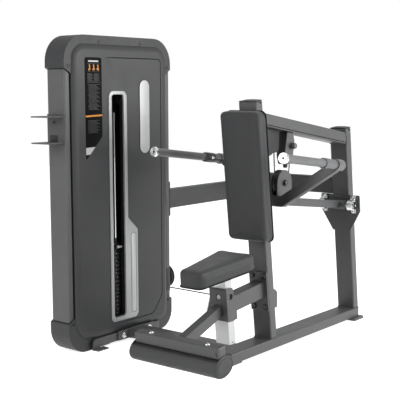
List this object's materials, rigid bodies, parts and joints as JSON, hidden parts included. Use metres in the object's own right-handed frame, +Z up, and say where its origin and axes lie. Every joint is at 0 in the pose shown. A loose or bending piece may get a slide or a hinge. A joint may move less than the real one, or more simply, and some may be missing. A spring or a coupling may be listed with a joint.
{
  "type": "seated dip machine",
  "caption": "Seated dip machine: a weight tower tied to a leaning seat frame whose pivoting arm lowers two forward handles and lifts the weight stack by cable.",
  "frame": {"origin": "middle of the machine's footprint box, on the floor", "axes": "+Z up, -Y the way the seated user faces, +X to the user's left; the weight tower stands at -X"},
  "size_m": [1.1708, 1.619, 1.5],
  "materials": {
    "frame_paint": "satin anthracite powder coat with a fine metallic fleck",
    "tower_post_paint": "satin mid grey powder coat",
    "tower_cover_paint": "satin dark grey painted panel",
    "cap_plastic": "fine grained moulded plastic",
    "pad_leather": "dark grey grained upholstery with black piping",
    "pad_board": "black board behind the back pad",
    "silver_trim": "light silver satin surround of the stack's window",
    "chrome": "polished plating",
    "black_plastic": "black nylon",
    "roller_rubber": "dark grey moulded foam rubber",
    "weight_iron": "black painted plates",
    "cable_jacket": "black cable jacket",
    "bearing_housing": "light grey metal"
  },
  "bodies": {
    "frame": {"base_rail": "frame_paint", "base_cross_tube": "frame_paint", "front_column": "frame_paint", "rear_column": "frame_paint", "front_column_cap": "cap_plastic", "rear_column_cap": "cap_plastic", "upper_beam": "frame_paint", "seat_arm": "frame_paint", "seat_sleeve": "frame_paint", "seat_brace": "frame_paint", "foot_bar": "frame_paint", "foot_pad": "roller_rubber", "link_beam": "frame_paint", "rear_cross_beam": "frame_paint", "pivot_gusset": "frame_paint", "bearing_left": "bearing_housing", "bearing_right": "bearing_housing", "upper_pulley_bracket": "frame_paint", "anchor_hanger": "frame_paint", "arm_bumper": "roller_rubber", "redirect_bracket": "frame_paint", "tower_post_front": "tower_post_paint", "tower_post_rear": "tower_post_paint", "tower_top_cap": "cap_plastic", "tower_bottom_cap_front": "cap_plastic", "tower_bottom_cap_rear": "cap_plastic", "tower_base_beam": "frame_paint", "tower_top_beam": "frame_paint", "tower_front_cover": "tower_cover_paint", "tower_rear_cover": "tower_cover_paint", "window_bezel": "silver_trim", "guide_rod_front": "chrome", "guide_rod_rear": "chrome", "weight_stack": "weight_iron", "side_bracket": "frame_paint", "back_pad": "pad_leather", "back_board": "pad_board", "cable_run": "cable_jacket", "cable_front_strand": "cable_jacket", "cable_rear_strand": "cable_jacket", "cable_stack_strand": "cable_jacket"},
    "arm": {"arm_tube": "frame_paint", "arm_yoke": "frame_paint", "pivot_shaft": "chrome", "cable_arm_loop": "cable_jacket"},
    "grip_left": {"handle_left": "frame_paint", "handle_cap_left": "chrome"},
    "grip_right": {"handle_right": "frame_paint", "handle_cap_right": "chrome"},
    "arm_wheel": {"arm_pulley": "black_plastic"},
    "upper_wheel": {"upper_pulley": "black_plastic"},
    "redirect_wheel": {"redirect_pulley": "black_plastic"},
    "side_wheel": {"tower_side_pulley": "black_plastic"},
    "corner_wheel": {"tower_corner_pulley": "black_plastic"},
    "top_wheel": {"tower_top_pulley": "black_plastic"},
    "stack": {"top_weight": "weight_iron"},
    "pin": {"selector_pin": "chrome"},
    "seat": {"seat_post": "chrome", "seat_pad": "pad_leather"},
    "lever": {"seat_lever": "chrome"}
  },
  "joints": [
    {"name": "arm_pivot", "type": "hinge", "parent": "frame", "child": "arm", "pos_m": [0.2056, 0.626, 0.64], "axis": [1, 0, 0], "range_deg": [0, 28], "deforming": ["cable_front_strand", "cable_rear_strand"]},
    {"name": "stack_lift", "type": "slide", "parent": "frame", "child": "stack", "axis": [0, 0, 1], "range_m": [0, 0.545], "deforming": ["cable_stack_strand"]},
    {"name": "arm_wheel_spin", "type": "hinge", "parent": "arm", "child": "arm_wheel", "pos_m": [0.2056, 0.0895, 0.797], "axis": [1, 0, 0], "range_deg": [0, 238.5]},
    {"name": "upper_wheel_spin", "type": "hinge", "parent": "frame", "child": "upper_wheel", "pos_m": [0.2056, -0.037, 0.995], "axis": [1, 0, 0], "range_deg": [-532, 0]},
    {"name": "redirect_wheel_spin", "type": "hinge", "parent": "frame", "child": "redirect_wheel", "pos_m": [0.1473, -0.0105, 0.272], "axis": [0, 1, 0], "range_deg": [-532, 0]},
    {"name": "side_wheel_spin", "type": "hinge", "parent": "frame", "child": "side_wheel", "pos_m": [-0.5134, 0.0545, 0.2585], "axis": [0, 1, 0], "range_deg": [-532, 0]},
    {"name": "corner_wheel_spin", "type": "hinge", "parent": "frame", "child": "corner_wheel", "pos_m": [-0.5289, 0.0137, 1.195], "axis": [1, 0, 0], "range_deg": [-532, 0]},
    {"name": "top_wheel_spin", "type": "hinge", "parent": "frame", "child": "top_wheel", "pos_m": [-0.5139, -0.2962, 1.195], "axis": [1, 0, 0], "range_deg": [-532, 0]},
    {"name": "grip_left_turn", "type": "hinge", "parent": "arm", "child": "grip_left", "pos_m": [0.5333, 0.08807, 0.89646], "axis": [0.0532, -0.9909, 0.1234], "range_deg": [-180, 180]},
    {"name": "grip_right_turn", "type": "hinge", "parent": "arm", "child": "grip_right", "pos_m": [-0.1221, 0.08807, 0.89646], "axis": [-0.0532, -0.9909, 0.1234], "range_deg": [-180, 180]},
    {"name": "pin_pull", "type": "slide", "parent": "stack", "child": "pin", "axis": [1, 0, 0], "range_m": [0, 0.05]},
    {"name": "seat_height", "type": "slide", "parent": "frame", "child": "seat", "axis": [0, -0.1167, 0.9932], "range_m": [-0.03, 0.1]},
    {"name": "seat_lever_pull", "type": "hinge", "parent": "frame", "child": "lever", "pos_m": [0.1573, -0.3855, 0.3], "axis": [1, 0, 0], "range_deg": [-25, 0], "stiffness_Nm_per_rad": 0.4, "springref_deg": 11.46}
  ],
  "couplings": [
    {"joint": "stack_lift", "follows": "arm_pivot", "m_per_rad": 1.105},
    {"joint": "upper_wheel_spin", "follows": "arm_pivot", "ratio": -18.95},
    {"joint": "redirect_wheel_spin", "follows": "arm_pivot", "ratio": -18.95},
    {"joint": "side_wheel_spin", "follows": "arm_pivot", "ratio": -18.95},
    {"joint": "corner_wheel_spin", "follows": "arm_pivot", "ratio": -18.95},
    {"joint": "top_wheel_spin", "follows": "arm_pivot", "ratio": -18.95},
    {"joint": "arm_wheel_spin", "follows": "arm_pivot", "ratio": 8.48}
  ]
}
